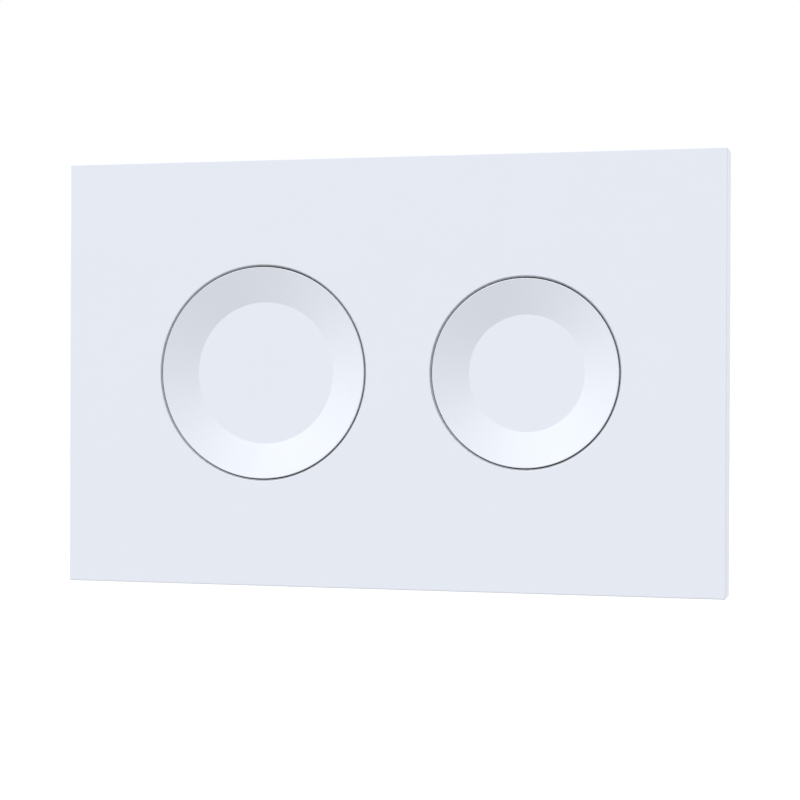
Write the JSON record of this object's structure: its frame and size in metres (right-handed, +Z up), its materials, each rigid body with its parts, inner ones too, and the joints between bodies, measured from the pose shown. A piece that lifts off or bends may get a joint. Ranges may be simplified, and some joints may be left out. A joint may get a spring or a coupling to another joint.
{
  "type": "flush button plate",
  "caption": "White rectangular flush plate for a concealed cistern, with a large and a small round dished push button, on a clip-on mounting frame.",
  "frame": {"origin": "middle of the plate on the wall plane", "axes": "+X to the user's right, +Y into the wall, +Z up; the front face looks along -Y"},
  "size_m": [0.2502, 0.082, 0.1596],
  "materials": {
    "white_abs": "fine satin",
    "grey_acetal": "moulded matt",
    "black_polypropylene": "moulded matt",
    "blue_acetal": "moulded matt",
    "natural_nylon": "moulded matt",
    "zinc_steel": "zinc plated",
    "spring_steel": "drawn wire",
    "black_rubber": "matt"
  },
  "bodies": {
    "plate": {"face_plate": "white_abs", "button_carrier": "grey_acetal", "carrier_screws": "zinc_steel", "mounting_frame": "black_polypropylene", "fixing_bolt_left": "natural_nylon", "fixing_bolt_right": "natural_nylon", "fixing_washer_left": "zinc_steel", "fixing_washer_right": "zinc_steel", "full_flush_spring": "spring_steel", "half_flush_spring": "spring_steel"},
    "full_flush_push": {"full_flush_button": "white_abs", "full_flush_push_rod": "blue_acetal", "full_flush_rod_locknut": "natural_nylon", "full_flush_post_screws": "zinc_steel", "full_flush_post_washers": "zinc_steel", "full_flush_stop_buffers": "black_rubber"},
    "half_flush_push": {"half_flush_button": "white_abs", "half_flush_push_rod": "blue_acetal", "half_flush_rod_locknut": "natural_nylon", "half_flush_post_screws": "zinc_steel", "half_flush_post_washers": "zinc_steel", "half_flush_stop_buffers": "black_rubber"}
  },
  "joints": [
    {"name": "full_flush_press", "type": "slide", "parent": "plate", "child": "full_flush_push", "axis": [0, 1, 0], "range_m": [0, 0.006], "stiffness_N_per_m": 600, "springref_m": -0.005, "deforming": ["full_flush_spring"]},
    {"name": "half_flush_press", "type": "slide", "parent": "plate", "child": "half_flush_push", "axis": [0, 1, 0], "range_m": [0, 0.006], "stiffness_N_per_m": 600, "springref_m": -0.005, "deforming": ["half_flush_spring"]}
  ]
}
